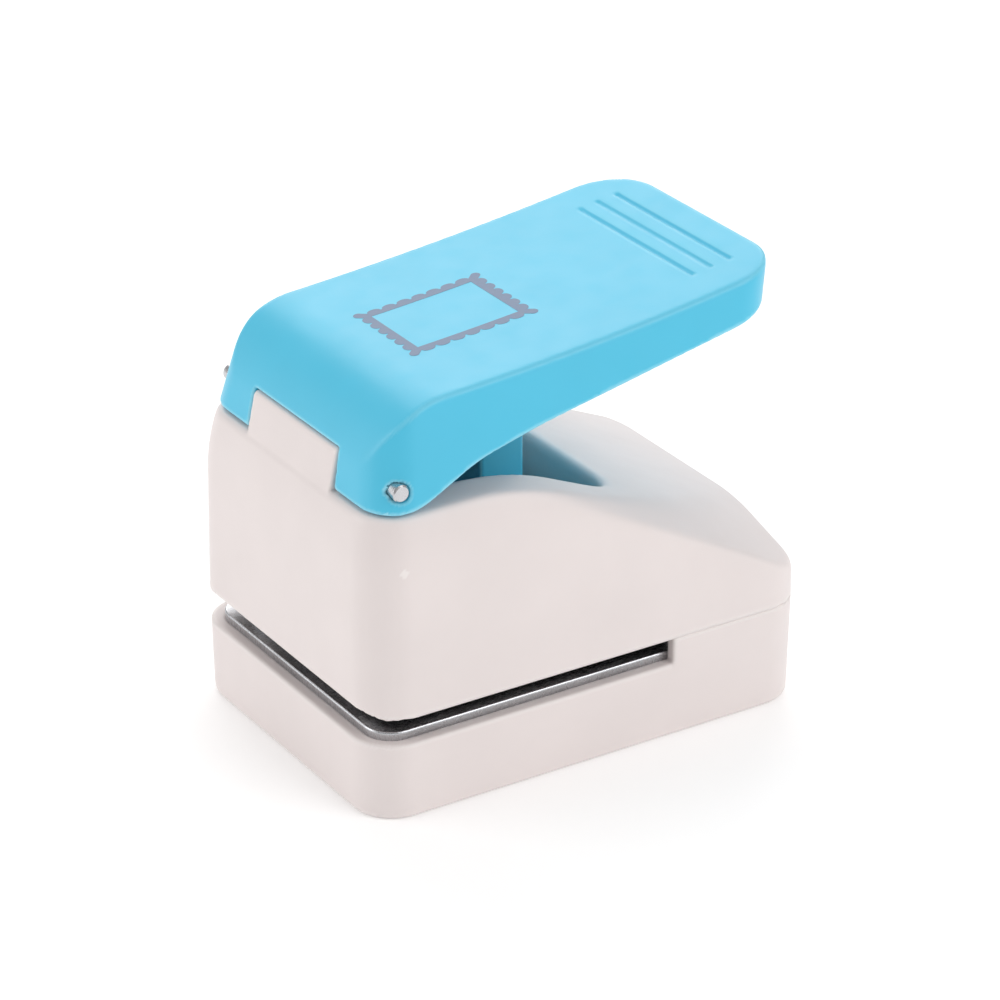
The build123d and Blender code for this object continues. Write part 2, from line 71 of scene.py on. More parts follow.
# ---------------------------------------------------------------- sizes in millimetres
half_length = housing_high[0]
half_width = housing_high[1]
corner = 7.5
parting = base_high[2]          # where base and housing meet
rim = 13.9                      # base rim around the paper slot
slot_end = 15.4
base_draft = math.tan(math.radians(0.76))
rim_wall = 2.3
shelf = 1.5                     # ledge that the die plate lies on
floor_top = 2.2
foot_edge = 0.6                 # rounding around the bottom
slot_edge = 0.35
chute_x, chute_y = 14.6, 12.0   # half sizes of the chip chute
chute_wall_x, chute_wall_y = 16.2, 13.6     # half sizes of the walls around it
chute_low, chute_high, chute_edge = -5, 30, 0.3     # past the floor and past the top
base_rib_start, base_rib_end, base_rib_y, base_rib_thickness = -30, 28, 20.0, 1.6
boss_radius = 3.75
screw_head_radius, screw_head_depth = 3.1, 3.0
screw_radius, screw_hole_top = 1.6, 20.0
die_bottom = die_low[2]

shoulder = 53.8                 # flat top of the housing beside the hinge
ramp_slope = 0.432
ramp_start = -13.06
ramp_blend = 47.0
wall_lean = 0.01
wall_curve = 0.01
wall_curve_start = 42.0
well_front, well_rear, well_half = -29.0, 10.0, 20.3
well_wall = 2.0
well_front_corner, well_rear_corner = 1.0, 8.0
lead_in_start, lead_in_slope = -40.0, 0.43
well_edge, well_edge_growth, well_edge_run = 0.7, 1.6, 8     # softer toward the rear
shell = 2.2
far_front, far_up = -50, 80     # beyond the housing
shell_top_extra = 0.8           # the top is this much thicker than the walls
crown_edge = 0.9                # rounding between the walls and the top
bevel_edge, bevel_edge_growth = 0.8, 0.6
bevel_edge_start, bevel_edge_end = -16, 26
bevel_inner, bevel_run = 28.3, 0.45
bevel_start, bevel_spread, bevel_run_growth = -12.0, 0.0065, 0.055     # only the -Y bevel widens

pivot_x, pivot_z = hinge["pos_m"][0] / MM, hinge["pos_m"][2] / MM
pin_radius = (pin_high[2] - pin_low[2]) / 2
lug_half, lug_radius, lug_top = 13.5, 3.25, 60.9
lug_front, lug_front_lean = -41.0, 0.218
lug_front_edge, lug_side_edge, lug_root, lug_root_low = 0.7, 0.4, 2, 44
guide_boss_radius, housing_hole_radius, housing_hole_top = 3.25, 1.5, 27.0
bore_play = 0.05
pin_recess, pin_recess_y = 0.2, 27.2
raised = math.radians(7.0)      # how far above level the lever rests
lever_wall, lever_roof = 2.2, 2.4
lever_front, lever_front_z, lever_front_lean = -38.5, 62.9, 0.3075
lever_rear, lever_rear_z, lever_rear_lean = 42.9, 70.0, 0.42
lever_half, lever_half_z, lever_half_lean = 25.1, 69.4, 0.255
lever_front_corner, lever_rear_corner, lever_bend = 7.0, 10.0, 11.0
roof_lowest, roof_lowest_x, roof_dish = 69.35, 8.0, 1250
lower_edge = 0.5                # rounding along the lever's lower edge
window_top, window_half_low, window_half_high = 61.2, 14.4, 13.8
window_bottom, window_back, window_corner, window_edge = 50.0, -33.5, 0.6, 0.3
nose_arm, nose_radius, nose_edge = 30.0, 3.5, 0.3
rib_y, rib_thickness = 15.4, 2.0
rib_start, rib_end = -39.0, -2.6
grooves = [28.8, 32.4, 36.3]
groove_half, groove_width, groove_depth = 17.2, 1.25, 0.38
groove_end_start, groove_end_stop, groove_reach = 0.5, 0.4, 1.0
print_low, print_high, print_half = -20.45, 2.37, 8.95    # centres of the print's corner lobes
print_inner_low, print_inner_high, print_inner_half = -18.85, 0.5, 7.35
print_above, print_below = 0.03, -0.15      # faces of the print, from the lever's top

rear_screws = [(30.0, -18.0), (30.0, 18.0)]
front_screws = [(-32.0, -20.0), (-32.0, 20.0)]
guide_screws = [(-35.0, -18.0), (-35.0, 18.0), (14.0, -15.0), (14.0, 15.0)]
punch_x = (pusher_low[0] + pusher_high[0]) / 2


# ---------------------------------------------------------------- distance fields, negative inside
def both(a, b, radius=0.0):
    """Where two shapes overlap, with the edge between them rounded."""
    if np.isscalar(radius) and radius == 0:
        return np.maximum(a, b)
    corner_part = np.hypot(np.maximum(a + radius, 0), np.maximum(b + radius, 0))
    return np.minimum(np.maximum(a, b), -radius) + corner_part


def either(a, b, radius=0.0):
    """Two shapes joined, with the inside corner between them rounded."""
    if radius == 0:
        return np.minimum(a, b)
    return -both(-a, -b, radius)


def less(a, b, radius=0.0):
    """A shape with another cut out of it."""
    return both(a, -b, radius)


def slab(v, low, high):
    """Between two planes across one axis."""
    return np.maximum(low - v, v - high)


def cuboid(x, y, z, x0, x1, y0, y1, z0, z1):
    """A box given by its two ends along each axis."""
    return np.maximum(np.maximum(slab(x, x0, x1), slab(y, y0, y1)), slab(z, z0, z1))


def disc(u, v, u0, v0, radius):
    """A round bar seen along its axis."""
    return np.hypot(u - u0, v - v0) - radius


def rounded_plan(x, y, x0, x1, half, front_radius, rear_radius):
    """A plan outline with its own corner radii at the two ends."""
    middle = (x0 + x1) / 2
    radius = np.where(x < middle, front_radius, rear_radius)
    over_x = np.abs(x - middle) - (x1 - x0) / 2 + radius
    over_y = np.abs(y) - half + radius
    outside = np.hypot(np.maximum(over_x, 0), np.maximum(over_y, 0))
    return outside + np.minimum(np.maximum(over_x, over_y), 0) - radius


def ease(v, low, high):
    """0 below low, 1 above high, smooth between."""
    t = np.clip((v - low) / (high - low), 0, 1)
    return t * t * (3 - 2 * t)


def blend(a, b, width):
    """Where two shapes overlap, with a smooth turn from one to the other."""
    return np.maximum(a, b) + np.maximum(width - np.abs(a - b), 0) ** 2 / (4 * width)


# ---------------------------------------------------------------- base
def base_shape(x, y, z):
    """Tub with a rim, a shelf for the die plate, screw bosses, ribs and a chip chute."""
    lean = base_draft * (parting - z)
    wall = rounded_plan(x, y, -half_length + lean, half_length - lean, half_width - lean, corner, corner)
    body = both(wall, -z, foot_edge)
    inset = rim_wall
    recess = rounded_plan(x, y, inset - half_length, half_length - inset, half_width - inset,
                          corner - inset, corner - inset)
    body = less(body, np.maximum(recess, die_bottom - z))
    inset = rim_wall + shelf
    hollow = rounded_plan(x, y, inset - half_length, half_length - inset, half_width - inset,
                          corner - inset, corner - inset)
    hollow = np.maximum(hollow, floor_top - z)
    keep = cuboid(x, y, z, punch_x - chute_wall_x, punch_x + chute_wall_x,
                  -chute_wall_y, chute_wall_y, 0, die_bottom)
    rib_half = base_rib_thickness / 2
    for side in (-base_rib_y, base_rib_y):
        keep = np.minimum(keep, cuboid(x, y, z, base_rib_start, base_rib_end,
                                       side - rib_half, side + rib_half, 0, die_bottom))
    for place in front_screws + rear_screws:
        keep = np.minimum(keep, np.maximum(disc(x, y, *place, boss_radius), z - die_bottom))
    return less(body, less(hollow, keep))


def base_cuts(body, x, y, z):
    """Crisp top, paper slot and openings through the floor of the base."""
    body = both(body, z - parting)
    body = less(body, np.maximum(x - slot_end, rim - z), slot_edge)
    chute = cuboid(x, y, z, punch_x - chute_x, punch_x + chute_x, -chute_y, chute_y,
                   chute_low, chute_high)
    body = less(body, chute, chute_edge)
    for place in front_screws + rear_screws:
        body = less(body, np.maximum(disc(x, y, *place, screw_head_radius), z - screw_head_depth))
        body = less(body, np.maximum(disc(x, y, *place, screw_radius), z - screw_hole_top))
    return body


# ---------------------------------------------------------------- housing
def top_height(x):
    """Height of the housing's top: flat at the hinge, a gentle bend, then the ramp."""
    angle = math.atan(ramp_slope)
    bend_start = ramp_start - ramp_blend * math.tan(angle / 2)
    bend_end = bend_start + ramp_blend * math.sin(angle)
    along = np.clip(x - bend_start, 0, bend_end - bend_start)
    bend = shoulder - ramp_blend + np.sqrt(ramp_blend ** 2 - along ** 2)
    return np.where(x < bend_end, bend, shoulder - ramp_slope * (x - ramp_start))


def wall_inset(z):
    """How far the housing's walls stand in from its footprint."""
    return wall_lean * (z - parting) + wall_curve * np.maximum(z - wall_curve_start, 0) ** 2


def housing_outside(x, y, z, inset, lowered):
    """The housing's outer form, or its inside when drawn in and lowered."""
    lean = wall_inset(z) + inset
    wall = rounded_plan(x, y, lean - half_length, half_length - lean, half_width - lean, corner, corner)
    over = z + lowered - top_height(x)
    along = np.maximum(x - bevel_start, 0)
    run = bevel_run + bevel_run_growth * along
    near = (over * run - y - bevel_inner + bevel_spread * along ** 2) / np.sqrt(1 + run ** 2)
    far = (over * bevel_run + y - bevel_inner) / math.hypot(1, bevel_run)
    near_edge = bevel_edge + bevel_edge_growth * ease(x, bevel_edge_start, bevel_edge_end)
    crown = blend(over / math.hypot(1, ramp_slope), near, near_edge)
    crown = blend(crown, far, bevel_edge)
    return both(crown, wall, crown_edge)


def hinge_lug(x, y, z):
    """Lug between the lever's cheeks, with a front face that leans back."""
    front = lug_front + lug_front_lean * (z - shoulder) - x
    ahead = np.maximum(both(front, z - lug_top, lug_front_edge), x - pivot_x)
    behind = np.maximum(slab(x, pivot_x, pivot_x + lug_radius), z - pivot_z)
    side = np.minimum(np.minimum(ahead, behind), disc(x, z, pivot_x, pivot_z, lug_radius))
    return both(np.maximum(side, shoulder - lug_root - z), np.abs(y) - lug_half, lug_side_edge)


def housing_shape(x, y, z):
    """Shell with screw bosses and a well for the pusher."""
    body = housing_outside(x, y, z, 0, 0)
    well = rounded_plan(x, y, well_front, well_rear, well_half, well_front_corner, well_rear_corner)
    edge = well_edge + well_edge_growth * ease(x, well_rear - well_edge_run, well_rear)
    body = less(body, well, edge)
    inside = housing_outside(x, y, z, shell, shell + shell_top_extra)
    keep = cuboid(x, y, z, well_front - well_wall, well_rear + well_wall,
                  -well_half - well_wall, well_half + well_wall, 0, far_up)
    keep = np.minimum(keep, cuboid(x, y, z, far_front, well_front, -lug_half, lug_half,
                                   lug_root_low, far_up))
    for place in guide_screws:
        keep = np.minimum(keep, disc(x, y, *place, guide_boss_radius))
    for place in rear_screws:
        keep = np.minimum(keep, disc(x, y, *place, boss_radius))
    return less(body, less(inside, keep))


def housing_cuts(body, x, y, z):
    """Lug, flat underside with its lead-in, screw holes and the hinge bore."""
    body = either(body, hinge_lug(x, y, z), 0.12)
    body = both(body, parting - z)
    under = parting + lead_in_slope * (lead_in_start - x)
    body = both(body, (under - z) / math.hypot(1, lead_in_slope))
    for place in guide_screws + rear_screws:
        body = less(body, np.maximum(disc(x, y, *place, housing_hole_radius), z - housing_hole_top))
    return less(body, disc(x, z, pivot_x, pivot_z, pin_radius + bore_play))


# ---------------------------------------------------------------- lever
def levelled(x, z):
    """A place in the raised lever, as it would be with the lever level."""
    across, up = x - pivot_x, z - pivot_z
    level_x = pivot_x + across * math.cos(raised) + up * math.sin(raised)
    level_z = pivot_z - across * math.sin(raised) + up * math.cos(raised)
    return level_x, level_z


def roof_height(x):
    """Height of the slightly dished lever top when level."""
    return roof_lowest + (x - roof_lowest_x) ** 2 / roof_dish


def lever_outside(x, y, z, inset, lowered):
    """The lever's tapered outer form, or its inside when drawn in and lowered."""
    front = lever_front + (z - lever_front_z) * lever_front_lean + inset
    rear = lever_rear + (z - lever_rear_z) * lever_rear_lean - inset
    half = lever_half - (z - lever_half_z) * lever_half_lean - inset
    plan = rounded_plan(x, y, front, rear, half, lever_front_corner - inset, lever_rear_corner - inset)
    roof = z + lowered - roof_height(x)
    nose = (front - x) / math.hypot(1, lever_front_lean)
    return np.maximum(plan, both(nose, roof, lever_bend - lowered))


def underside(x):
    """Lower edge of the lever's side walls when level."""
    places = [-60, -41.2, -39.6, -33.2, -21.4, -9.5, 26.0, 60.0]
    heights = [55.2, 55.2, 54.4, 54.4, 58.3, 59.85, 62.5, 65.2]
    spread = 2.2
    offsets = np.linspace(-1.5, 1.5, 9)
    weights = np.exp(-0.5 * offsets ** 2)
    total = sum(w * np.interp(x + spread * o, places, heights) for w, o in zip(weights, offsets))
    return total / weights.sum()


def lever_shape(x, y, z):
    """Hollow press lever with two ribs; its walls run down past their lower edge."""
    x, z = levelled(x, z)
    outside = lever_outside(x, y, z, 0, 0)
    body = less(outside, lever_outside(x, y, z, lever_wall, lever_roof))
    rib_places = [-39.6, -36.0, -28.0, -12.0, -6.0, -2.6]
    rib_heights = [57.0, 54.6, 57.0, 57.0, 54.6, 58.0]
    rib_low = np.interp(x, rib_places, rib_heights)
    rib = np.maximum(slab(np.abs(y), rib_y - rib_thickness / 2, rib_y + rib_thickness / 2),
                     np.maximum(rib_low - z, slab(x, rib_start, rib_end)))
    return np.minimum(body, np.maximum(rib, outside))


def lever_cuts(body, x, y, z):
    """Lower edge, nose bar, grip grooves, hinge bore and the window that clears the lug."""
    flat_x, flat_z = levelled(x, z)
    body = both(body, underside(flat_x) - flat_z, lower_edge)
    nose = both(disc(flat_x, flat_z, pivot_x + nose_arm, pivot_z, nose_radius),
                np.abs(y) - rib_y - rib_thickness / 2, nose_edge)
    body = either(body, nose, nose_edge)
    depth = 0.0
    for place in grooves:
        across = np.clip(np.abs(flat_x - place) / (groove_width / 2), 0, 1)
        ends = 1 - ease(np.abs(y), groove_half - groove_end_start, groove_half + groove_end_stop)
        depth = depth + groove_depth * np.cos(across * math.pi / 2) ** 2 * ends
    depth = np.where(flat_z > roof_height(flat_x) - groove_reach, depth, 0.0)
    body = body + depth
    taper = (window_half_low - window_half_high) / (window_top - window_bottom)
    opening = np.abs(y) - (window_half_low - taper * (z - window_bottom))
    window = both(both(opening, z - window_top, window_corner), x - window_back)
    body = less(body, window, window_edge)
    body = less(body, disc(x, z, pivot_x, pivot_z, pin_radius + bore_play))
    recess = disc(x, z, pivot_x, pivot_z, pin_radius + pin_recess)
    return less(body, np.maximum(recess, pin_recess_y - np.abs(y)))


# ---------------------------------------------------------------- meshing a field
def soften(values, step, spread):
    """The field blurred by a bell curve, which rounds every edge alike and leaves flats in place."""
    reach = int(math.ceil(3 * spread / step))
    offsets = np.arange(-reach, reach + 1)
    weights = np.exp(-0.5 * (offsets * step / spread) ** 2)
    weights = weights / weights.sum()
    for axis in range(3):
        margin = [(reach, reach) if a == axis else (0, 0) for a in range(3)]
        padded = np.moveaxis(np.pad(values, margin, mode="edge"), axis, 0)
        count = values.shape[axis]
        total = sum(w * padded[k:k + count] for k, w in enumerate(weights))
        values = np.moveaxis(total, 0, axis)
    return values


def look_up(values, low, step, points):
    """The gridded field at any points, by blending the eight grid values around each."""
    place = (points - low) / step
    cell = np.clip(np.floor(place).astype(int), 0, np.array(values.shape) - 2)
    part = np.clip(place - cell, 0, 1)
    total = np.zeros(len(points))
    for i in (0, 1):
        for j in (0, 1):
            for k in (0, 1):
                share = (part[:, 0] if i else 1 - part[:, 0]) * (part[:, 1] if j else 1 - part[:, 1])
                share = share * (part[:, 2] if k else 1 - part[:, 2])
                total += share * values[cell[:, 0] + i, cell[:, 1] + j, cell[:, 2] + k]
    return total


def surface_cells(field):
    """Cells that the surface passes through, their first corners and mean crossing points."""
    shape = np.array(field.shape) - 1
    inside = field < 0
    total = np.zeros(tuple(shape) + (3,))
    crossings = np.zeros(tuple(shape))
    for axis in range(3):
        near = [slice(None)] * 3
        far = [slice(None)] * 3
        near[axis] = slice(0, -1)
        far[axis] = slice(1, None)
        a, b = field[tuple(near)], field[tuple(far)]
        crosses = inside[tuple(near)] != inside[tuple(far)]
        part = np.where(crosses, a / np.where(crosses, a - b, 1), 0)
        others = [k for k in range(3) if k != axis]
        for u in (0, 1):
            for v in (0, 1):
                pick = [slice(None)] * 3
                pick[others[0]] = slice(u, u + shape[others[0]])
                pick[others[1]] = slice(v, v + shape[others[1]])
                hit = crosses[tuple(pick)]
                crossings += hit
                total[..., axis] += part[tuple(pick)] * hit
                total[..., others[0]] += u * hit
                total[..., others[1]] += v * hit
    used = crossings > 0
    return used, total[used] / crossings[used][:, None]


def surface_quads(field, index):
    """One quad for each grid edge that the surface crosses, joining the four cells around it."""
    inside = field < 0
    quads = []
    for axis in range(3):
        u, v = [k for k in range(3) if k != axis]
        near = [slice(None)] * 3
        far = [slice(None)] * 3
        near[axis] = slice(0, -1)
        far[axis] = slice(1, None)
        crosses = inside[tuple(near)] != inside[tuple(far)]
        for k in (u, v):
            edge = [slice(None)] * 3
            edge[k] = [0, -1]
            crosses[tuple(edge)] = False
        spots = np.argwhere(crosses)
        entering = inside[tuple(near)][crosses]
        corners = []
        for du, dv in ((-1, -1), (0, -1), (0, 0), (-1, 0)):
            cell = spots.copy()
            cell[:, u] += du
            cell[:, v] += dv
            corners.append(index[cell[:, 0], cell[:, 1], cell[:, 2]])
        quad = np.stack(corners, axis=1)
        flip = entering if axis == 1 else ~entering
        quad[flip] = quad[flip][:, ::-1]
        quads.append(quad)
    return np.concatenate(quads)


def mesh_field(name, shape, cuts, low, high, step, spread):
    """A smooth closed mesh where the softened shape, less its crisp cuts, changes sign."""
    low = np.array(low, float)
    axes = [np.arange(low[k], high[k] + step, step) for k in range(3)]
    x, y, z = np.meshgrid(*axes, indexing="ij", sparse=True)
    soft = soften(shape(x, y, z) + np.zeros([len(a) for a in axes]), step, spread)
    field = cuts(soft, x, y, z)
    used, points = surface_cells(field)
    index = np.full(used.shape, -1)
    index[used] = np.arange(len(points))
    points = (points + np.argwhere(used)) * step + low
    quads = surface_quads(field, index)

    def value(p):
        return cuts(look_up(soft, low, step, p), p[:, 0], p[:, 1], p[:, 2])

    pairs = np.concatenate([quads[:, [k, (k + 1) % 4]] for k in range(4)])
    for turn in range(4):
        if turn < 2:
            total = np.stack([np.bincount(pairs[:, 0], points[pairs[:, 1], k], len(points))
                              for k in range(3)], axis=1)
            near = np.bincount(pairs[:, 0], minlength=len(points))[:, None]
            points = 0.5 * points + 0.5 * total / np.maximum(near, 1)
        reach = step * 0.4
        slope = np.stack([(value(points + reach * unit) - value(points - reach * unit)) / (2 * reach)
                          for unit in np.eye(3)], axis=1)
        move = value(points) / np.maximum((slope ** 2).sum(axis=1), 0.25)
        points = points - np.clip(move, -step, step)[:, None] * slope
    mesh = bpy.data.meshes.new(name)
    mesh.from_pydata((points * MM).tolist(), [], quads.tolist())
    mesh.validate()
    mesh.shade_smooth()
    piece = bpy.data.objects.new(name, mesh)
    bpy.context.scene.collection.objects.link(piece)
    return piece


# ---------------------------------------------------------------- printed stamp frame
def print_outline():
    """Outer edge of the printed frame: a round lobe at each corner and teeth along each side."""
    corners = [(print_low, -print_half), (print_high, -print_half),
               (print_high, print_half), (print_low, print_half)]
    lobe, notch, tooth_height, tooth_share = 0.85, 0.35, 0.85, 0.44
    outline = []
    for k, count in enumerate((7, 6, 7, 6)):
        (x0, y0), (x1, y1) = corners[k], corners[(k + 1) % 4]
        facing = math.radians(90 * k - 90)
        for turn in range(-150, 61, 15):
            angle = facing + math.radians(turn)
            outline.append((x0 + lobe * math.cos(angle), y0 + lobe * math.sin(angle)))
        for tooth in range(1, count + 1):
            for turn in range(0, 181, 15):
                angle = math.radians(turn)
                part = (tooth - tooth_share * math.cos(angle)) / (count + 1)
                out = tooth_height * math.sin(angle) - notch
                outline.append((x0 + (x1 - x0) * part + out * math.cos(facing),
                                y0 + (y1 - y0) * part + out * math.sin(facing)))
    return outline


def on_lever_top(x, y, height):
    """A point above the level lever's top, carried round with the raised lever, in metres."""
    across, up = x - pivot_x, roof_height(x) + height - pivot_z
    return ((pivot_x + across * math.cos(raised) - up * math.sin(raised)) * MM, y * MM,
            (pivot_z + across * math.sin(raised) + up * math.cos(raised)) * MM)


def stamp_print():
    """Thin printed frame in the form of a perforated stamp, laid on the lever's top."""
    outer = print_outline()
    inner, match = [], []
    for x, y in outer:
        point = (min(max(x, print_inner_low), print_inner_high),
                 min(max(y, -print_inner_half), print_inner_half))
        if not inner or point != inner[-1]:
            inner.append(point)
        match.append(len(outer) + len(inner) - 1)
    if inner[-1] == inner[0]:
        inner.pop()
    count = len(outer) + len(inner)
    match = [len(outer) + (k - len(outer)) % len(inner) for k in match]
    points = [on_lever_top(x, y, height) for height in (print_above, print_below)
              for x, y in outer + inner]
    faces = []
    for i in range(len(outer)):
        j = (i + 1) % len(outer)
        ring = [i, j, match[j]] if match[i] == match[j] else [i, j, match[j], match[i]]
        faces.append(ring)
        faces.append([k + count for k in reversed(ring)])
        faces.append([i + count, j + count, j, i])
        if match[i] != match[j]:
            faces.append([match[i], match[j], match[j] + count, match[i] + count])
    mesh = bpy.data.meshes.new("stamp_print")
    mesh.from_pydata(points, [], faces)
    mesh.validate()
    piece = bpy.data.objects.new("stamp_print", mesh)
    bpy.context.scene.collection.objects.link(piece)
    return piece


# ---------------------------------------------------------------- materials
mottle_scale, smear_scale, grain_scale = 60, 220, 2600
mottle_darker, grain_height = 0.965, 0.00004
edge_highlight_from, edge_highlight_to, edge_highlight_share = 0.512, 0.575, 0.75     # how sharp an edge has to be to get the painted highlight
cloud_scale, cloud_darker = 90, 0.82
line_scale, line_height = 900, 0.00003
speckle_scale, speckle_paler, speckle_height = 1400, 1.18, 0.00002


def new_material(name):
    """An empty node material with its shader."""
    material = bpy.data.materials.new(name)
    material.use_nodes = True
    nodes, links = material.node_tree.nodes, material.node_tree.links
    return material, nodes, links, nodes["Principled BSDF"]


def noise(nodes, links, scale, detail, stretch=(1, 1, 1)):
    """Procedural noise in the object's own frame."""
    place = nodes.new("ShaderNodeTexCoord")
    mapping = nodes.new("ShaderNodeMapping")
    mapping.inputs["Scale"].default_value = stretch
    links.new(place.outputs["Object"], mapping.inputs["Vector"])
    texture = nodes.new("ShaderNodeTexNoise")
    texture.inputs["Scale"].default_value = scale
    texture.inputs["Detail"].default_value = detail
    links.new(mapping.outputs["Vector"], texture.inputs["Vector"])
    return texture


def spread_to(nodes, links, source, low, high):
    """A 0 to 1 value spread between two others."""
    ramp = nodes.new("ShaderNodeMapRange")
    ramp.inputs["From Min"].default_value = 0.3
    ramp.inputs["From Max"].default_value = 0.7
    ramp.inputs["To Min"].default_value = low
    ramp.inputs["To Max"].default_value = high
    links.new(source, ramp.inputs["Value"])
    return ramp.outputs["Result"]


def colour_mix(nodes, links, source, first, second):
    """A colour between two others."""
    mix = nodes.new("ShaderNodeMix")
    mix.data_type = "RGBA"
    mix.inputs["A"].default_value = (*first, 1)
    mix.inputs["B"].default_value = (*second, 1)
    links.new(source, mix.inputs["Factor"])
    return mix


def plastic(name, colour, highlight_colour, roughness, grain):
    """Moulded plastic: faint mottling, a fine moulded grain and a painted highlight that makes sharp
    edges paler.
    """
    material, nodes, links, shader = new_material(name)
    mottle = noise(nodes, links, mottle_scale, 4)
    darker = tuple(c * mottle_darker for c in colour)
    body = colour_mix(nodes, links, spread_to(nodes, links, mottle.outputs["Fac"], 0, 1), colour, darker)
    # Sharp edges, found by pointiness, are mixed toward a paler colour: a painted highlight.
    geometry = nodes.new("ShaderNodeNewGeometry")
    edge = nodes.new("ShaderNodeMapRange")
    edge.inputs["From Min"].default_value = edge_highlight_from
    edge.inputs["From Max"].default_value = edge_highlight_to
    edge.inputs["To Max"].default_value = edge_highlight_share
    links.new(geometry.outputs["Pointiness"], edge.inputs["Value"])
    highlighted = nodes.new("ShaderNodeMix")
    highlighted.data_type = "RGBA"
    highlighted.inputs["B"].default_value = (*highlight_colour, 1)
    links.new(edge.outputs["Result"], highlighted.inputs["Factor"])
    links.new(body.outputs["Result"], highlighted.inputs["A"])
    links.new(highlighted.outputs["Result"], shader.inputs["Base Color"])
    smear = noise(nodes, links, smear_scale, 6)
    links.new(spread_to(nodes, links, smear.outputs["Fac"], roughness - 0.05, roughness + 0.06),
              shader.inputs["Roughness"])
    fine = noise(nodes, links, grain_scale, 3)
    bump = nodes.new("ShaderNodeBump")
    bump.inputs["Strength"].default_value = grain
    bump.inputs["Distance"].default_value = grain_height
    links.new(fine.outputs["Fac"], bump.inputs["Height"])
    links.new(bump.outputs["Normal"], shader.inputs["Normal"])
    shader.inputs["Specular IOR Level"].default_value = 0.45
    return material


def steel(name, colour, roughness, stretch, scratches):
    """Worked steel: fine lines along one direction and a cloudy polish."""
    material, nodes, links, shader = new_material(name)
    cloud = noise(nodes, links, cloud_scale, 5)
    darker = tuple(c * cloud_darker for c in colour)
    body = colour_mix(nodes, links, spread_to(nodes, links, cloud.outputs["Fac"], 0, 1), colour, darker)
    links.new(body.outputs["Result"], shader.inputs["Base Color"])
    shader.inputs["Metallic"].default_value = 1.0
    lines = noise(nodes, links, line_scale, 5, stretch)
    links.new(spread_to(nodes, links, lines.outputs["Fac"], roughness * 0.7, roughness * 1.35),
              shader.inputs["Roughness"])
    bump = nodes.new("ShaderNodeBump")
    bump.inputs["Strength"].default_value = scratches
    bump.inputs["Distance"].default_value = line_height
    links.new(lines.outputs["Fac"], bump.inputs["Height"])
    links.new(bump.outputs["Normal"], shader.inputs["Normal"])
    return material


def ink(name, colour):
    """Screen-printed ink: uneven cover and a slightly rough skin."""
    material, nodes, links, shader = new_material(name)
    speckle = noise(nodes, links, speckle_scale, 5)
    paler = tuple(c * speckle_paler for c in colour)
    body = colour_mix(nodes, links, spread_to(nodes, links, speckle.outputs["Fac"], 0, 1), colour, paler)
    links.new(body.outputs["Result"], shader.inputs["Base Color"])
    links.new(spread_to(nodes, links, speckle.outputs["Fac"], 0.42, 0.58), shader.inputs["Roughness"])
    bump = nodes.new("ShaderNodeBump")
    bump.inputs["Strength"].default_value = 0.15
    bump.inputs["Distance"].default_value = speckle_height
    links.new(speckle.outputs["Fac"], bump.inputs["Height"])
    links.new(bump.outputs["Normal"], shader.inputs["Normal"])
    return material


def paint(piece, material):
    """Give a piece one material."""
    piece.data.materials.clear()
    piece.data.materials.append(material)


# The second colour of each plastic is its painted edge highlight.
body_plastic = plastic("body_plastic", (0.80, 0.725, 0.71), (0.88, 0.83, 0.81), 0.40, 0.10)
lever_plastic = plastic("lever_plastic", (0.085, 0.560, 0.790), (0.40, 0.80, 0.93), 0.36, 0.08)
pusher_plastic = plastic("pusher_plastic", (0.075, 0.500, 0.700), (0.20, 0.65, 0.80), 0.45, 0.12)
plate_steel = steel("plate_steel", (0.60, 0.61, 0.63), 0.27, (1, 12, 1), 0.08)
tool_steel = steel("tool_steel", (0.42, 0.42, 0.45), 0.28, (1, 1, 14), 0.12)
turned_steel = steel("turned_steel", (0.66, 0.66, 0.68), 0.24, (1, 10, 1), 0.10)
screw_steel = steel("screw_steel", (0.58, 0.58, 0.60), 0.32, (1, 1, 1), 0.10)
spring_steel = steel("spring_steel", (0.45, 0.45, 0.47), 0.30, (1, 1, 1), 0.08)
brass = steel("brass", (0.72, 0.52, 0.22), 0.28, (1, 1, 8), 0.08)
stamp_ink = ink("stamp_ink", (0.15, 0.21, 0.32))

# ---------------------------------------------------------------- moulded pieces
body_margin, lever_margin = 1.5, 1.2        # room round each piece on its grid
base_piece = mesh_field("base_shell", base_shape, base_cuts,
                        base_low - body_margin, base_high + body_margin, step=0.5, spread=0.42)
housing_piece = mesh_field("housing_shell", housing_shape, housing_cuts,
                           housing_low - body_margin, housing_high + body_margin, step=0.5, spread=0.45)
lever_piece = mesh_field("lever_shell", lever_shape, lever_cuts,
                         lever_low - lever_margin, lever_high + lever_margin, step=0.42, spread=0.42)
print_piece = stamp_print()

for piece, node, body, material, slot in (
        (base_piece, "base", "body", body_plastic, "body_plastic"),
        (housing_piece, "housing", "body", body_plastic, "body_plastic"),
        (lever_piece, "lever", "lever", lever_plastic, "lever_plastic")):
    paint(piece, material)
    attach(piece, body)
    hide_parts(node)
paint(print_piece, stamp_ink)
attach(print_piece, "lever")

node_materials = {
    "die_plate": plate_steel, "guide_plate": plate_steel, "rear_spacer": plate_steel,
    "die_set_rivets": screw_steel, "hinge_pin": turned_steel, "pusher": pusher_plastic,
    "pusher_bush_left": brass, "pusher_bush_right": brass, "cutter": tool_steel,
    "cutter_screws": screw_steel, "guide_post_left": turned_steel, "guide_post_right": turned_steel,
    "post_clips": spring_steel, "spring_washers": screw_steel,
    "return_spring_left": spring_steel, "return_spring_right": spring_steel,
    "front_base_screws": screw_steel, "rear_base_screws": screw_steel, "guide_plate_screws": screw_steel,
}
for node, material in node_materials.items():
    paint(frame["nodes"][node], material)


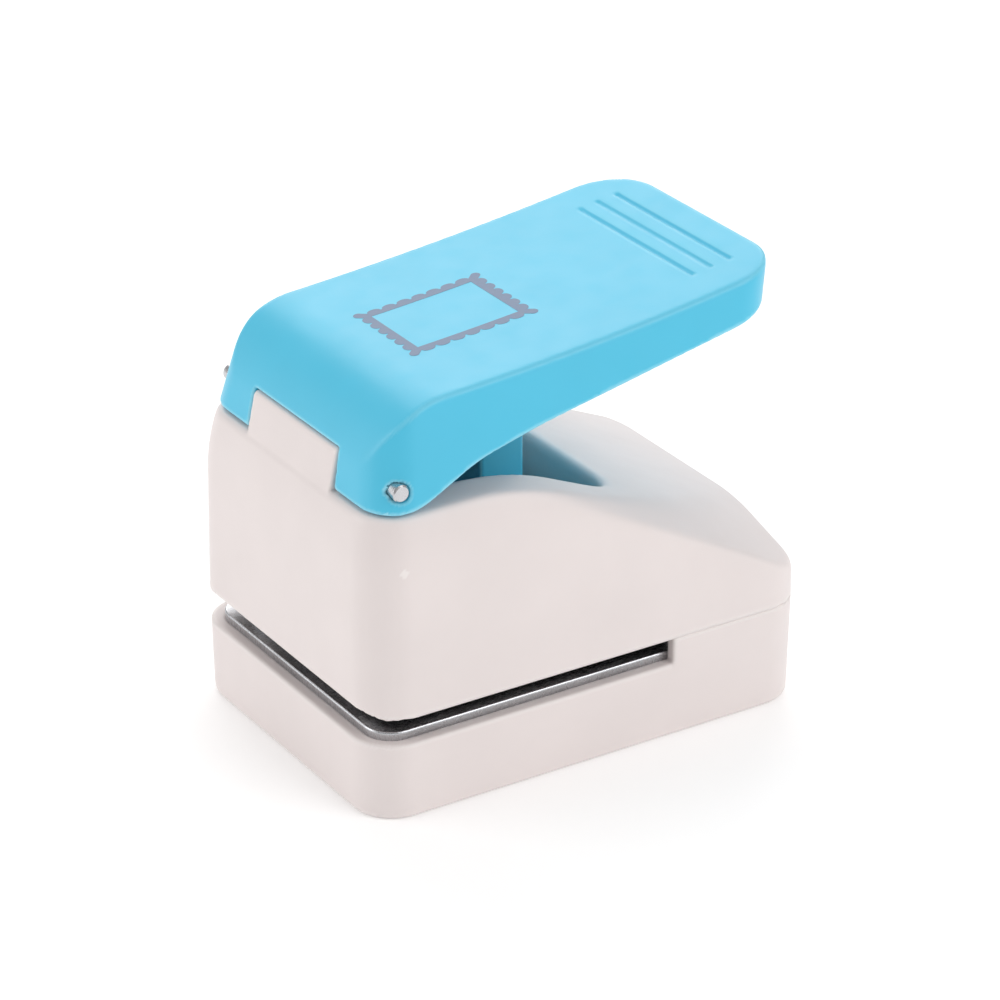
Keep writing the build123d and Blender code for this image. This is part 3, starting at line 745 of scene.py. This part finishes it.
# ---------------------------------------------------------------- floor, light and camera
def floor():
    """Pale table top with a very faint texture."""
    half, count = 3.0, 12
    points = [(-half + 2 * half * i / count, -half + 2 * half * j / count, -0.0001)
              for i in range(count + 1) for j in range(count + 1)]
    faces = [(i * (count + 1) + j, (i + 1) * (count + 1) + j, (i + 1) * (count + 1) + j + 1,
              i * (count + 1) + j + 1) for i in range(count) for j in range(count)]
    mesh = bpy.data.meshes.new("floor")
    mesh.from_pydata(points, [], faces)
    piece = bpy.data.objects.new("floor", mesh)
    bpy.context.scene.collection.objects.link(piece)
    material, nodes, links, shader = new_material("floor")
    shade = noise(nodes, links, 4, 3)
    body = colour_mix(nodes, links, spread_to(nodes, links, shade.outputs["Fac"], 0, 1),
                      (0.975, 0.975, 0.975), (0.965, 0.965, 0.965))
    links.new(body.outputs["Result"], shader.inputs["Base Color"])
    shader.inputs["Roughness"].default_value = 0.9
    shader.inputs["Specular IOR Level"].default_value = 0.1
    shader.inputs["Emission Color"].default_value = (1, 1, 1, 1)
    shader.inputs["Emission Strength"].default_value = 0.16
    paint(piece, material)


def area_light(name, place, target, size, power, colour=(1, 1, 1)):
    """Square softbox aimed at a point."""
    data = bpy.data.lights.new(name, "AREA")
    data.size = size
    data.energy = power
    data.color = colour
    light = bpy.data.objects.new(name, data)
    light.location = place
    light.rotation_euler = (Vector(target) - Vector(place)).to_track_quat("-Z", "Y").to_euler()
    bpy.context.scene.collection.objects.link(light)


def studio():
    """White surroundings with soft lights overhead, behind and on both sides."""
    world = bpy.data.worlds.new("studio")
    bpy.context.scene.world = world
    world.use_nodes = True
    sky = world.node_tree.nodes["Background"]
    sky.inputs["Color"].default_value = (1.0, 0.995, 0.99, 1)
    sky.inputs["Strength"].default_value = 0.47
    middle = (0.0, 0.0, 0.04)
    area_light("overhead", (0.05, 0.10, 0.95), middle, 0.9, 1.2)
    area_light("behind", (0.40, 0.83, 0.59), middle, 0.9, 5.0)
    area_light("left", (-0.95, 0.50, 0.45), middle, 0.8, 4.0)
    area_light("right", (0.45, -0.90, 0.70), middle, 0.8, 5.4)
    bpy.context.scene.view_settings.view_transform = "Standard"


def camera():
    """Long lens, looking down from the front left."""
    azimuth, elevation = math.radians(-32.27), math.radians(26.13)
    target = Vector((0.0065, 0.0104, 0.030))
    back = Vector((math.sin(azimuth) * math.cos(elevation), -math.cos(azimuth) * math.cos(elevation),
                   math.sin(elevation)))
    data = bpy.data.cameras.new("camera")
    data.sensor_width = 36.0
    data.lens = 145.67
    data.clip_start = 0.01
    view = bpy.data.objects.new("camera", data)
    view.location = target + back * 0.6992
    view.rotation_euler = (-back).to_track_quat("-Z", "Y").to_euler()
    bpy.context.scene.collection.objects.link(view)
    bpy.context.scene.camera = view


floor()
studio()
camera()
